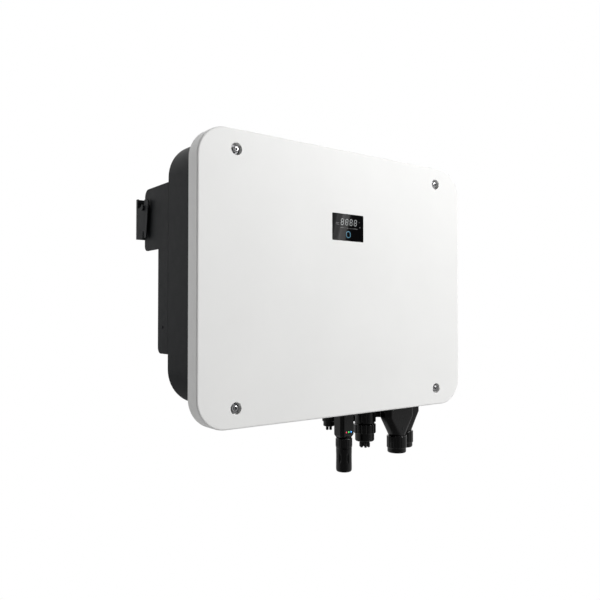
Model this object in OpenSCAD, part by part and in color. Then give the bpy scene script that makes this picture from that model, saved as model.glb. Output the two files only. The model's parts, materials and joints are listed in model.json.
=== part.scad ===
// String inverter: a sealed wall-hung power converter.
// Millimetres. X to the right, Z up, the front faces -Y.
// The origin is the centre of the wall bracket's bolt pattern, on the wall.
// The parts are drawn in the cover's frame: x and z from the centre of the
// cover's front face, y back from that face. placed() moves them to the wall.

/* [Overall] */
// Front face of the cover to the wall
depth = 245; // [240:1:280]
// Height of the wall bracket's centre above the cover's centre
bracket_rise = 117; // [112:1:122]

/* [Front cover] */
// Width of the cover
cover_w = 620; // [616:1:640]
// Height of the cover
cover_h = 485; // [478:1:500]
// Depth of the cover's rim
cover_t = 30; // [28:1:34]
// Radius of the cover's corners
cover_r = 52; // [45:1:60]
// Thickness of the cover's skin
cover_skin = 2.5; // [2:0.5:3]
// Cover screws: distance from the cover's sides
screw_in_x = 71; // [65:1:80]
// Cover screws: distance from the cover's top and bottom
screw_in_z = 33.2; // [31:0.1:36]

/* [Display] */
// Width of the display window
window_w = 75.7; // [70:0.1:80]
// Height of the display window
window_h = 49.5; // [45:0.1:55]
// Height of the display's centre above the cover's centre
window_z = 100.8; // [95:0.1:110]

/* [Housing] */
// Width of the cast housing
body_w = 600; // [596:1:600]
// Top of the cast housing
body_top = 238; // [234:1:238]
// Bottom of the cast housing
body_bottom = -213; // [-214:1:-210]
// Back of the cast housing
body_back = 123; // [120:1:126]
// Radius of the housing's corners
body_r = 62; // [55:1:65]
// Thickness of the housing's walls
body_wall = 4; // [3:0.5:5]

/* [Heat sink] */
// Number of fins
fin_count = 44; // [30:1:50]
// Thickness of a fin
fin_t = 2; // [1.5:0.5:3]
// Back edge of the fins
fin_back = 160; // [150:1:161]

/* [Wall bracket] */
// Width between the faces of the bracket's two ears
bracket_w = 612; // [610:1:614]
// Height of the bracket
bracket_h = 74; // [70:1:78]
// Thickness of the bracket's sheet
bracket_t = 2; // [1.5:0.5:3]
// Wall bolts: distance between the slots, side to side
bolt_dx = 400; // [350:10:450]
// Wall bolts: distance between the slots, up and down
bolt_dz = 44; // [40:1:46]

/* [Underside] */
// DC switch: distance left of centre
switch_x = 212; // [208:1:214]
// Spacing of the solar plug sockets along the underside
pv_pitch = 32; // [28:1:34]
// Communication stick: length below the underside
stick_len = 148; // [138:1:158]
// Depth of the front row of connectors
row_front = 55; // [52:1:56]
// Depth of the back row of connectors
row_back = 90; // [89:1:92]

/* [Hidden] */
$fn = 48;
hull_fn = 32;

// Colours
white = [0.93, 0.93, 0.92];
grey = [0.66, 0.67, 0.66];
dark = [0.18, 0.19, 0.20];
black = [0.06, 0.06, 0.07];
steel = [0.75, 0.76, 0.77];
green = [0.05, 0.32, 0.18];

// Seal and flange between cover and housing
flange_front = 18;
flange_gap = 1;
opening_w = 568;
opening_h = 372;
gasket_in = 4;
gasket_w = 5;
gasket_front = 16;
gasket_groove = 2;
screw_x = cover_w / 2 - screw_in_x;
screw_z = cover_h / 2 - screw_in_z;
screw_spots = [for (x = [-1, 1], z = [-1, 1]) [x * screw_x, z * screw_z]];
screw_hole_r = 3;
screw_r = 2.95;
counterbore_r = 10;
counterbore_y = 7.5;

// Back of the housing
pad_w = 480;
pad_z0 = -65;
pad_z1 = 145;
pad_front = 114;
sink_half_w = 262;
sink_z0 = -120;
sink_z1 = 160;
sink_front = body_back + 1;
sink_base_t = 6;
sheet = 3;
rear_screw_zs = [-104, 20, 144];

// Boards
board_t = 2;
board_front = 98;
board_half_w = 262;
board_z0 = -100;
board_z1 = 196;
pillar_spots = [for (x = [-92, 92], z = [28, 178]) [x, z]];
tray_y = 32.6;
tray_t = 1.2;
control_y = 26;
control_t = 1.6;
display_board_y = 6;
fan_z = -46;
fan_size = 60;
fan_front = 60;
fan_depth = 22;

// Underside
ledge_z = -216;
ledge_x0 = -236;
ledge_x1 = 272;
pv_x0 = -172;
pv_xs = [for (i = [0:3]) pv_x0 + i * pv_pitch];
battery_x = -36;
stick_at = [41, 60];
com_at = [112, 78];
spare_at = [158, 92];
aux_at = [30, 92];
grid_at = [230, 84];
backup_at = [177, 52];
shell_straight = 50;
shell_neck = 89;
shell_end = 102;
nut_end = 124;

// ---------------------------------------------------------------- helpers

// From the cover's frame to the wall
module placed() {
    translate([0, -depth, -bracket_rise]) children();
}

// Extrude an outline drawn in x and z, from depth y0 back to depth y1
module slab(y0, y1) {
    translate([0, y1, 0]) rotate([90, 0, 0]) linear_extrude(y1 - y0) children();
}

// A rectangle with rounded corners, centred
module round_rect(w, h, r) {
    square([w - 2 * r, h], center = true);
    square([w, h - 2 * r], center = true);
    for (x = [-1, 1], y = [-1, 1])
        translate([x * (w / 2 - r), y * (h / 2 - r)]) circle(r);
}

// A ring between two rounded rectangles, wide apart by t
module round_frame(w, h, r, t) {
    difference() {
        round_rect(w + 2 * t, h + 2 * t, r + t);
        round_rect(w, h, r);
    }
}

// A round bar along y, from depth y0 back to y1
module bar(x, z, y0, y1, r) {
    translate([x, y1, z]) rotate([90, 0, 0]) cylinder(h = y1 - y0, r = r);
}

// A round bar hanging along z at a place under the housing
module stalk(at, z0, z1, r) {
    translate([at[0], at[1], z0]) cylinder(h = z1 - z0, r = r);
}

// A block from one corner to the other
module block(a, b) {
    translate(a) cube([b[0] - a[0], b[1] - a[1], b[2] - a[2]]);
}

// ------------------------------------------------------------ front cover

module cover_outline(inset) {
    round_rect(cover_w - 2 * inset, cover_h - 2 * inset, cover_r - inset);
}

module gasket_outline() {
    round_frame(opening_w + 2 * gasket_in, opening_h + 2 * gasket_in, 30, gasket_w);
}

module front_cover() color(white) placed() difference() {
    union() {
        difference() {
            slab(0, cover_t) cover_outline(0);
            slab(cover_skin, cover_t + 1) cover_outline(cover_skin);
        }
        slab(cover_skin - 1, gasket_front) gasket_outline();
        for (s = screw_spots) bar(s[0], s[1], cover_skin - 1, flange_front, 12.5);
    }
    for (s = screw_spots) {
        bar(s[0], s[1], -1, counterbore_y, counterbore_r);
        bar(s[0], s[1], -1, cover_t, 3.4);
    }
    translate([0, 0, window_z]) {
        slab(-1, 1.6) round_rect(window_w, window_h, 2);
        slab(-1, cover_skin + 1) round_rect(window_w - 7, window_h - 7, 2);
    }
}

module display_window() color(black) placed()
    translate([0, 0, window_z]) slab(0.1, 1.6) round_rect(window_w - 0.2, window_h - 0.2, 1.9);

// Socket-head screws, held captive in the cover
module cover_screws() color(steel) placed() for (s = screw_spots) difference() {
    union() {
        bar(s[0], s[1], 1, 6, 5.25);
        bar(s[0], s[1], 5.9, 28, screw_r);
    }
    translate([s[0], 4, s[1]]) rotate([90, 0, 0]) cylinder(h = 4, r = 2.6, $fn = 6);
}

module cover_washers() color(grey) placed() for (s = screw_spots) difference() {
    bar(s[0], s[1], 6, counterbore_y, 8.6);
    bar(s[0], s[1], 5, 9, 3.2);
}

// ---------------------------------------------------------------- housing

body_mid = (body_top + body_bottom) / 2;
body_h = body_top - body_bottom;

module body_outline(inset) {
    translate([0, body_mid]) round_rect(body_w - 2 * inset, body_h - 2 * inset, body_r - inset);
}

module housing() color(dark) placed() difference() {
    union() {
        slab(flange_front, cover_t) cover_outline(cover_skin + flange_gap);
        slab(cover_t - 1, body_back) body_outline(0);
        for (s = screw_spots) bar(s[0], s[1], cover_t - 1, 38, 7);
        block([ledge_x0, 36, ledge_z], [ledge_x1, 114, body_bottom + 5]);
    }
    difference() {
        slab(cover_t, body_back - body_wall) body_outline(body_wall);
        for (s = screw_spots) bar(s[0], s[1], cover_t - 1, 38, 7);
    }
    slab(flange_front - 1, cover_t + 1) round_rect(opening_w, opening_h, 26);
    slab(flange_front - 1, flange_front + gasket_groove) gasket_outline();
    for (s = screw_spots) bar(s[0], s[1], flange_front - 1, 39, screw_hole_r);
    // opening for the heat sink's raised pad
    block([-pad_w / 2 - 5, body_back - 5, pad_z0 - 5], [pad_w / 2 + 5, body_back + 1, pad_z1 + 5]);
    // blind holes for the rear screws
    for (s = rear_spots) bar(s[0], s[1], body_back - 3, body_back + 1, 2);
    // ports in the underside
    for (p = port_holes) stalk([p[0], p[1]], ledge_z - 1, body_bottom + 6, p[2]);
    // earth screw
    translate([body_w / 2 - 3, 80, -120]) rotate([0, 90, 0]) cylinder(h = 4, r = 2.5);
}

// x, y and radius of each hole through the underside
port_holes = concat(
    [for (x = pv_xs, y = [row_front, row_back]) [x, y, 8]],
    [for (y = [row_front, row_back]) [battery_x, y, 10]],
    [[-switch_x, 72, 6], [stick_at[0], stick_at[1], 13], [com_at[0], com_at[1], 15]],
    [[aux_at[0], aux_at[1], 8], [-4, 62, 5], [spare_at[0], spare_at[1], 12]],
    [[grid_at[0], grid_at[1], 15], [backup_at[0], backup_at[1], 15]]
);

module cover_gasket() color(black) placed()
    slab(gasket_front, flange_front + gasket_groove) gasket_outline();

module breather_vent() color(black) placed() {
    stalk([-4, 62], ledge_z - 5, ledge_z, 9);
    stalk([-4, 62], ledge_z - 1, body_bottom + 4, 4.9);
}

// Screw and cup washer for the earth conductor, on the right side
module earth_terminal() color(steel) placed() translate([body_w / 2, 80, -120]) rotate([0, 90, 0]) {
    cylinder(h = 1.2, r = 6);
    translate([0, 0, 1]) cylinder(h = 5, r = 4.6, $fn = 6);
    translate([0, 0, -3]) cylinder(h = 4, r = 2.5);
}

// -------------------------------------------------- heat sink and hangers

rear_spots = concat(
    [for (x = [-285, 285], z = rear_screw_zs) [x, z]],
    [for (x = [-254, 254], z = rear_screw_zs) [x, z]]
);

module heat_sink() color([0.55, 0.56, 0.57]) placed() difference() {
    union() {
        block([-sink_half_w, sink_front, sink_z0], [sink_half_w, sink_front + sink_base_t, sink_z1]);
        block([-pad_w / 2, pad_front, pad_z0], [pad_w / 2, sink_front + 1, pad_z1]);
        fin_step = (2 * sink_half_w - 36) / (fin_count - 1);
        for (i = [0:fin_count - 1])
            translate([18 - sink_half_w + i * fin_step - fin_t / 2, sink_front + sink_base_t - 1, sink_z0])
                cube([fin_t, fin_back - sink_front - sink_base_t + 1, sink_z1 - sink_z0]);
    }
    for (s = rear_spots) if (abs(s[0]) < sink_half_w) bar(s[0], s[1], sink_front - 1, 140, 2.2);
}

module heat_sink_gasket() color(black) placed() difference() {
    translate([0, 0, (pad_z0 + pad_z1) / 2])
        slab(body_back, sink_front) round_frame(pad_w + 12, pad_z1 - pad_z0 + 12, 4, 6);
}

module rear_screws() color(steel) placed() for (s = rear_spots) {
    seat = abs(s[0]) < sink_half_w ? sink_front + sink_base_t : body_back + sheet;
    difference() {
        union() {
            bar(s[0], s[1], seat, seat + 3.5, 3.6);
            bar(s[0], s[1], body_back - 3, seat + 1, 2);
        }
        translate([s[0], seat + 4, s[1]]) rotate([90, 0, 0]) cylinder(h = 2.5, r = 1.6, $fn = 6);
    }
}

// Outline of a hanger's side in y and z: [y, z, corner radius]
hang_back = 219.5;
hang_low_back = 162;
hang_top = 168;
hang_step = 56.5;
hang_bottom = -126.4;

// One corner of a plate's outline, cut round
module corner_cut(y, z, r, turn) {
    translate([y, z]) rotate(turn) difference() {
        translate([-r, -r]) square(r + 1);
        translate([-r, -r]) circle(r);
    }
}

module hanger_outline() difference() {
    union() {
        translate([body_back, hang_bottom])
            square([hang_low_back - body_back, hang_top - hang_bottom]);
        translate([body_back, hang_step]) square([hang_back - body_back, hang_top - hang_step]);
    }
    corner_cut(hang_back, hang_top, 14, 0);
    corner_cut(hang_back, hang_step, 10, -90);
    corner_cut(hang_low_back, hang_bottom, 11, -90);
    translate([142, -81]) circle(2.25);
    translate([lock_y, lock_z]) circle(lock_r);
    translate([pin_y, pin_z]) circle(4);
}

// The pin's seat in the bracket's ear, and the hole for the installer's lock screw
pin_y = 214;
pin_z = 135;
lock_y = 213;
lock_z = 88;
lock_r = 2.1;

// A sheet plate flush with the housing's side, with a flange on its back
module hanger(side) color(dark) placed() difference() {
    union() {
        translate([side > 0 ? body_w / 2 - sheet : -body_w / 2, 0, 0])
            rotate([90, 0, 90]) linear_extrude(sheet) hanger_outline();
        block([side > 0 ? 272 : -298, body_back, hang_bottom],
              [side > 0 ? 298 : -272, body_back + sheet, hang_top]);
    }
    for (z = rear_screw_zs) bar(side * 285, z, body_back - 1, body_back + sheet + 1, 2.2);
}

module left_hanger() hanger(-1);
module right_hanger() hanger(1);

// Shouldered pins that rest in the notches of the bracket's ears
module hanger_pins() color(dark) placed() for (side = [-1, 1])
    translate([side * (body_w / 2), pin_y, pin_z]) rotate([0, side * 90, 0]) {
        cylinder(h = 3.8, r = 6.5);
        translate([0, 0, 3.5]) cylinder(h = 3, r = 4);
        translate([0, 0, 6.2]) cylinder(h = 2.6, r = 5.2);
        translate([0, 0, -sheet]) cylinder(h = sheet + 1, r = 4);
    }

ear_x = bracket_w / 2 - bracket_t;
bracket_low = bracket_rise - bracket_h / 2;
bracket_high = bracket_rise + bracket_h / 2;

// Side of an ear in y and z: slanted front edge, open notch and seat for the pin, lock slot
module ear_outline() difference() {
    polygon([[depth, bracket_low], [201, bracket_low], [193, bracket_high - 9],
             [197, bracket_high - 5], [pin_y, bracket_high - 5], [pin_y, bracket_high],
             [depth, bracket_high]]);
    translate([pin_y, pin_z]) circle(4.3);
    translate([pin_y - 4.3, pin_z]) square([8.6, 30]);
    translate([pin_y - 4.3, pin_z + 2]) square([28, 30]);
    translate([lock_y - 2.4, bracket_low - 1]) square([4.8, 13]);
}

module wall_bracket() color(dark) placed() {
    difference() {
        union() {
            block([-ear_x - 1, depth - bracket_t, bracket_low], [ear_x + 1, depth, bracket_high]);
            for (z = [bracket_low, bracket_high - bracket_t])
                block([-260, depth - 12, z], [260, depth - 1, z + bracket_t]);
        }
        for (x = [-1, 1], z = [-1, 1])
            translate([x * bolt_dx / 2, 0, bracket_rise + z * bolt_dz / 2])
                slab(depth - 3, depth + 1) {
                    square([9, 9], center = true);
                    for (e = [-1, 1]) translate([e * 4.5, 0]) circle(4.5);
                }
    }
    for (side = [-1, 1])
        translate([side > 0 ? ear_x : -ear_x - bracket_t, 0, 0])
            rotate([90, 0, 90]) linear_extrude(bracket_t) ear_outline();
}

// --------------------------------------------------------- power circuits

standoff_spots = [for (x = [-252, 0, 252], z = [board_z0 + 8, board_z1 - 8]) [x, z]];

module power_board() color(green) placed() difference() {
    block([-board_half_w, board_front, board_z0], [board_half_w, board_front + board_t, board_z1]);
    for (s = pillar_spots) bar(s[0], s[1], board_front - 1, board_front + 3, 6);
    for (s = standoff_spots) bar(s[0], s[1], board_front - 1, board_front + 3, 1.6);
}

module board_standoffs() color(steel) placed() for (s = standoff_spots) {
    bar(s[0], s[1], board_front + board_t, body_back - body_wall, 3.5);
    bar(s[0], s[1], board_front, board_front + board_t + 1, 1.5);
    bar(s[0], s[1], board_front - 2, board_front, 3);
}

// Switching modules between the board and the heat sink's pad
module_xs = [-150, 0, 150];

module power_modules() color([0.85, 0.84, 0.78]) placed() for (x = module_xs)
    block([x - 36, board_front + board_t + 0.5, 8], [x + 36, pad_front - 0.5, 68]);

module thermal_pads() color([0.6, 0.65, 0.75]) placed() for (x = module_xs)
    block([x - 34, pad_front - 0.5, 10], [x + 34, pad_front, 66]);

cap_h = 50;

module dc_link_capacitors() color([0.12, 0.14, 0.2]) placed()
    for (x = [-2.5:2.5], z = [64, 104, 144]) {
        bar(x * 37, z, board_front - cap_h, board_front, 16.5);
    }

module filter_capacitors() color([0.75, 0.72, 0.6]) placed()
    for (z = [-72, -44, -16]) block([92, board_front - 36, z - 10], [134, board_front, z + 10]);

// A wound ring lying on the board
module choke(x, z) {
    translate([x, board_front - 13, z]) rotate([90, 0, 0])
        rotate_extrude() translate([22, 0]) circle(12.5, $fn = 32);
}

module boost_chokes() color([0.62, 0.34, 0.16]) placed() for (z = [0, 76, 152]) choke(-212, z);

module filter_chokes() color([0.62, 0.34, 0.16]) placed() for (z = [0, 76, 152]) choke(212, z);

module grid_relays() color([0.15, 0.2, 0.35]) placed()
    for (x = [160, 190, 220], z = [-82, -56])
        block([x - 13, board_front - 24, z - 10], [x + 13, board_front, z + 10]);

conn_z0 = -176;
conn_z1 = -106;

module connection_board() color(green) placed() difference() {
    block([-board_half_w, board_front, conn_z0], [board_half_w, board_front + board_t, conn_z1]);
    for (x = [-252, 252]) bar(x, (conn_z0 + conn_z1) / 2, board_front - 1, board_front + 3, 1.6);
}

// Screw terminals for the two AC connections
module ac_terminals() color([0.2, 0.45, 0.25]) placed() for (x = [backup_at[0] - 26, grid_at[0] - 8])
    difference() {
        block([x - 26, board_front - 26, -150], [x + 26, board_front, -122]);
        for (i = [-2:2]) bar(x + i * 10, -136, board_front - 27, board_front - 16, 3.2);
    }

// One lead: up from its socket, round a bend, back to the board
module lead(x, y, bend) {
    top = -140;
    stalk([x, y], -190, top, 2.6);
    translate([x, y + bend, top]) rotate([90, 0, 0]) rotate([0, -90, 0])
        rotate_extrude(angle = 90) translate([bend, 0]) circle(2.6);
    if (y + bend < board_front) bar(x, top + bend, y + bend, board_front, 2.6);
}

module dc_leads() color([0.5, 0.1, 0.08]) placed() for (x = concat(pv_xs, [battery_x])) {
    lead(x, row_front, 20);
    lead(x, row_back, 6);
}

// -------------------------------------------- control, display and the fan

module tray_pillars() color(steel) placed() for (s = pillar_spots) {
    // the lower pair stand on the heat sink's pad, the upper pair on the housing
    bar(s[0], s[1], tray_y + tray_t, s[1] < pad_z1 ? pad_front : body_back - body_wall, 4);
    bar(s[0], s[1], tray_y - 2, tray_y + tray_t + 1, 1.9);
}

module shield_tray() color(grey) placed() difference() {
    union() {
        slab(tray_y, tray_y + tray_t) translate([0, 103]) round_rect(262, 176, 6);
        for (x = [-131, 129.8]) block([x, tray_y, 21], [x + 1.2, tray_y + 10, 185]);
    }
    for (s = pillar_spots) bar(s[0], s[1], tray_y - 1, tray_y + 3, 2);
}

module control_board() color(green) placed() {
    block([-105, control_y, 40], [105, control_y + control_t, 166]);
    for (x = [-96, 96], z = [50, 156]) bar(x, z, control_y + control_t, tray_y, 3);
    // plug headers, a shielded processor and a relay
    block([-92, control_y - 9, 50], [-72, control_y, 120]);
    block([58, control_y - 5, 60], [94, control_y, 96]);
    block([-30, control_y - 10, 44], [30, control_y, 56]);
}

module display_board() color(green) placed() {
    block([-39, display_board_y, window_z - 27], [39, display_board_y + control_t, window_z + 27]);
    for (x = [-35, 35], z = [-22, 22])
        bar(x, window_z + z, display_board_y + control_t, control_y, 2.5);
}

module display_module() color(black) placed()
    block([-31, 2.9, window_z - 18], [31, display_board_y, window_z + 18]);

fan_spots = [for (x = [-1, 1], z = [-1, 1]) [x * 25, fan_z + z * 25]];

module fan_frame() color(black) placed() {
    difference() {
        translate([0, 0, fan_z]) slab(fan_front, fan_front + fan_depth) round_rect(fan_size, fan_size, 4);
        bar(0, fan_z, fan_front - 1, fan_front + fan_depth - 3, 27.5);
        difference() {
            bar(0, fan_z, fan_front, fan_front + fan_depth + 1, 27.5);
            bar(0, fan_z, fan_front, fan_front + fan_depth + 1, 14);
            for (a = [0, 90, 180, 270])
                translate([0, fan_front, fan_z]) rotate([0, a, 0]) translate([0, 0, -2]) cube([28, 40, 4]);
        }
    }
    // centre pin for the rotor, and posts to the board
    bar(0, fan_z, fan_front + 4, fan_front + fan_depth - 1, 2.5);
    for (s = fan_spots) bar(s[0], s[1], fan_front + fan_depth - 1, board_front, 2.6);
}

module fan_rotor() color([0.1, 0.1, 0.11]) placed() translate([0, 0, fan_z]) difference() {
    union() {
        bar(0, 0, fan_front + 1.5, fan_front + fan_depth - 3.6, 13);
        for (i = [0:6]) rotate([0, i * 360 / 7, 0]) intersection() {
            translate([11, fan_front + 9.5, 0]) rotate([38, 0, 0]) cube([15.4, 1.4, 30], center = false);
            bar(0, 0, fan_front + 2, fan_front + fan_depth - 4, 26.6);
        }
    }
    bar(0, 0, fan_front + 3.5, fan_front + fan_depth, 2.55);
}

// -------------------------------------------------------------- underside

module dc_switch_body() color([0.2, 0.2, 0.22]) placed() difference() {
    block([-switch_x - 24, 46, body_bottom + body_wall], [-switch_x + 24, 97, -140]);
    stalk([-switch_x, 72], body_bottom, -180, 3.05);
}

module dc_switch_plate() color([0.35, 0.35, 0.36]) placed() difference() {
    stalk([-switch_x, 72], ledge_z - 3, ledge_z, 23);
    stalk([-switch_x, 72], ledge_z - 4, ledge_z + 1, 6);
}

// Turns with its shaft, a quarter of a turn from off to on
module dc_switch_knob() color(black) placed() {
    difference() {
        stalk([-switch_x, 72], ledge_z - 14, ledge_z - 3.3, 19);
        for (a = [0:30:330]) translate([-switch_x, 72, ledge_z - 15]) rotate(a)
            translate([20.5, 0, 0]) cylinder(h = 9, r = 3);
    }
    translate([-switch_x, 72, 0]) block([-4.5, -18, ledge_z - 30], [4.5, 18, ledge_z - 13]);
    stalk([-switch_x, 72], ledge_z - 4, -184, 3);
}

// Panel half of a solar plug pair: flange, nut, barrel with its open mouth
module dc_socket(x, y, r, len) difference() {
    union() {
        stalk([x, y], ledge_z - 3, ledge_z, r + 4.5);
        stalk([x, y], ledge_z - len, ledge_z - 2, r + 2);
        stalk([x, y], ledge_z - 1, -190, r + 0.2);
        translate([x, y, body_bottom + body_wall]) cylinder(h = 5, r = r + 4, $fn = 6);
    }
    stalk([x, y], ledge_z - len - 1, ledge_z + 2, r - 1);
}

module solar_plus_sockets() color(black) placed() for (x = pv_xs) dc_socket(x, row_front, 7.3, 30);

module solar_minus_sockets() color(black) placed() for (x = pv_xs) dc_socket(x, row_back, 7.3, 26);

module battery_sockets() color([0.1, 0.1, 0.12]) placed() for (y = [row_front, row_back])
    dc_socket(battery_x, y, 9, 33);

// Communication stick with a network plug in its lower end
stick_mid = ledge_z - 80;
stick_nut_z = ledge_z - 99;
stick_end = body_bottom - stick_len;

module stick_socket() color(black) placed() {
    stalk(stick_at, ledge_z - 12, ledge_z, 17);
    stalk(stick_at, ledge_z - 1, -200, 12.8);
}

module stick_outline(inset) {
    w = 34.3 - 2 * inset;
    d = 28.9 - 2 * inset;
    c = 5.5;
    polygon([[-w / 2 + c, -d / 2], [w / 2 - c, -d / 2], [w / 2, -d / 2 + c], [w / 2, d / 2 - c],
             [w / 2 - c, d / 2], [-w / 2 + c, d / 2], [-w / 2, d / 2 - c], [-w / 2, -d / 2 + c]]);
}

module stick_body() color(black) placed() difference() {
    union() {
        translate([stick_at[0], stick_at[1], stick_mid + 6])
            linear_extrude(ledge_z - 12 - stick_mid - 6) stick_outline(0);
        hull() {
            translate([stick_at[0], stick_at[1], stick_mid + 6]) linear_extrude(0.5) stick_outline(0);
            translate([stick_at[0], stick_at[1], stick_mid]) linear_extrude(0.5) stick_outline(3);
        }
        stalk(stick_at, stick_nut_z, stick_mid + 1, 13);
    }
    for (x = light_xs) translate([stick_at[0] + x, stick_at[1] - 14, stick_mid + 12])
        rotate([90, 0, 0]) cylinder(h = 2, r = 1.3);
}

light_xs = [-6, 0, 6];

module stick_lights() placed() for (i = [0:2])
    color([i == 0 ? 1 : 0, i == 1 ? 1 : 0.1, i == 2 ? 1 : 0.1])
        translate([stick_at[0] + light_xs[i], stick_at[1] - 14, stick_mid + 12])
            rotate([90, 0, 0]) cylinder(h = 0.5, r = 1.25);

module grips(at, z0, z1, r, n, cut) {
    for (i = [0:n - 1]) translate([at[0], at[1], z0]) rotate(i * 360 / n)
        translate([r + cut * 0.45, 0, 0]) cylinder(h = z1 - z0, r = cut);
}

module stick_ring_nut() color(black) placed() difference() {
    stalk(stick_at, stick_nut_z + 0.2, stick_mid - 0.3, 16.2);
    stalk(stick_at, stick_nut_z - 1, stick_mid + 1, 13.3);
    grips(stick_at, stick_nut_z - 1, stick_mid - 3, 16.2, 18, 0.9);
}

module stick_cap() color(black) placed() difference() {
    union() {
        stalk(stick_at, stick_end + 4, stick_nut_z, 15.3);
        stalk(stick_at, stick_end, stick_end + 5, 13);
        translate([stick_at[0], stick_at[1], stick_end + 4]) rotate_extrude() {
            translate([11.3, 0]) circle(4);
        }
    }
    grips(stick_at, stick_end + 22, stick_nut_z - 12, 15.3, 6, 2.4);
}

// Multi-core connector: socket, plug body, clamping nut, seal with stopped holes
module com_socket() color(black) placed() {
    stalk(com_at, ledge_z - 22, ledge_z, 21.5);
    stalk(com_at, ledge_z - 1, -198, 14.8);
}

module com_plug() color(black) placed() difference() {
    union() {
        stalk(com_at, ledge_z - 62, ledge_z - 22, 20.2);
        stalk(com_at, ledge_z - 84, ledge_z - 61, 15);
        for (a = [45, 135, 225, 315]) translate([com_at[0], com_at[1], ledge_z - 60]) rotate(a)
            block([17, -5, 0], [23, 5, 34]);
    }
    stalk(com_at, ledge_z - 85, ledge_z - 70, 12.2);
}

module com_seal() color([0.03, 0.03, 0.03]) placed() {
    stalk(com_at, ledge_z - 96, ledge_z - 70, 12);
    for (a = [0:60:300]) translate([com_at[0], com_at[1], 0]) rotate(a)
        stalk([8.3, 0], ledge_z - 110, ledge_z - 95, 2.8);
}

module com_nut() color(black) placed() difference() {
    union() {
        stalk(com_at, ledge_z - 82, ledge_z - 62.3, 22.6);
        stalk(com_at, ledge_z - 97, ledge_z - 81, 19.4);
    }
    stalk(com_at, ledge_z - 84.5, ledge_z - 60, 15.3);
    stalk(com_at, ledge_z - 98, ledge_z - 84, 12.4);
    grips(com_at, ledge_z - 83, ledge_z - 66, 22.6, 12, 1.8);
}

module aux_socket() color(black) placed() difference() {
    union() {
        stalk(aux_at, ledge_z - 28, ledge_z, 14.2);
        stalk(aux_at, ledge_z - 44, ledge_z - 27, 8.5);
        stalk(aux_at, ledge_z - 1, -200, 7.8);
    }
    stalk(aux_at, ledge_z - 45, ledge_z - 30, 6.2);
}

module aux_seal() color([0.03, 0.03, 0.03]) placed() {
    stalk(aux_at, ledge_z - 60, ledge_z - 30, 6);
    for (x = [-2.6, 2.6]) stalk([aux_at[0] + x, aux_at[1] - x * 0.75], ledge_z - 69, ledge_z - 59, 2.7);
}

module aux_nut() color(black) placed() difference() {
    union() {
        stalk(aux_at, ledge_z - 52, ledge_z - 28.3, 13.2);
        stalk(aux_at, ledge_z - 61, ledge_z - 51, 11);
    }
    stalk(aux_at, ledge_z - 46, ledge_z - 27, 8.8);
    stalk(aux_at, ledge_z - 62, ledge_z - 45, 6.3);
    grips(aux_at, ledge_z - 53, ledge_z - 31, 13.2, 10, 1.2);
}

module spare_port_cap() color(black) placed() difference() {
    union() {
        stalk(spare_at, ledge_z - 54, ledge_z, 16);
        stalk(spare_at, ledge_z - 1, -202, 11.8);
    }
    grips(spare_at, ledge_z - 55, ledge_z - 12, 16, 12, 1.6);
}

// AC connector: an oval shell that narrows to a round neck
module oval(half_w, r) {
    for (x = [-1, 1]) translate([x * (half_w - r), 0]) circle(r);
    square([2 * (half_w - r), 2 * r], center = true);
}

module ac_shell(at) color(black) placed() translate([at[0], at[1], 0]) difference() {
    union() {
        translate([0, 0, ledge_z - shell_straight]) linear_extrude(shell_straight) oval(40.1, 16.1);
        hull() {
            for (x = [-24, 24]) translate([x, 0, ledge_z - shell_straight])
                cylinder(h = 0.5, r = 16.1, $fn = hull_fn);
            translate([0, 0, ledge_z - shell_neck]) cylinder(h = 0.5, r = 16.8, $fn = hull_fn);
        }
        stalk([0, 0], ledge_z - shell_end, ledge_z - shell_neck + 2, 15);
        stalk([0, 0], ledge_z - 1, -200, 14.8);
    }
    stalk([0, 0], ledge_z - shell_end - 1, ledge_z - 20, 11);
}

module grid_shell() ac_shell(grid_at);
module backup_shell() ac_shell(backup_at);

module ac_seals() color([0.03, 0.03, 0.03]) placed() for (at = [grid_at, backup_at]) difference() {
    stalk(at, ledge_z - nut_end + 4.2, ledge_z - shell_end, 13.7);
    stalk(at, ledge_z - nut_end, ledge_z - shell_end + 1, 9);
}

module ac_nut(at) color(black) placed() difference() {
    union() {
        stalk(at, ledge_z - nut_end + 10, ledge_z - shell_neck - 0.3, 20.5);
        stalk(at, ledge_z - nut_end, ledge_z - nut_end + 11, 19);
    }
    stalk(at, ledge_z - shell_end, ledge_z - shell_neck + 1, 15.35);
    stalk(at, ledge_z - nut_end + 4, ledge_z - shell_end + 1, 14);
    stalk(at, ledge_z - nut_end - 1, ledge_z - nut_end + 5, 10.5);
    grips(at, ledge_z - nut_end - 1, ledge_z - shell_neck - 4, 20.5, 16, 1.3);
}

module grid_nut() ac_nut(grid_at);
module backup_nut() ac_nut(backup_at);

// ------------------------------------------------------------------ nodes

front_cover();
display_window();
cover_screws();
cover_washers();
housing();
cover_gasket();
breather_vent();
earth_terminal();
heat_sink();
heat_sink_gasket();
rear_screws();
left_hanger();
right_hanger();
hanger_pins();
wall_bracket();
power_board();
board_standoffs();
power_modules();
thermal_pads();
dc_link_capacitors();
filter_capacitors();
boost_chokes();
filter_chokes();
grid_relays();
connection_board();
ac_terminals();
dc_leads();
shield_tray();
tray_pillars();
control_board();
display_board();
display_module();
fan_frame();
fan_rotor();
dc_switch_body();
dc_switch_plate();
dc_switch_knob();
solar_plus_sockets();
solar_minus_sockets();
battery_sockets();
stick_socket();
stick_body();
stick_lights();
stick_ring_nut();
stick_cap();
com_socket();
com_plug();
com_seal();
com_nut();
aux_socket();
aux_seal();
aux_nut();
spare_port_cap();
grid_shell();
backup_shell();
ac_seals();
grid_nut();
backup_nut();
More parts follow.
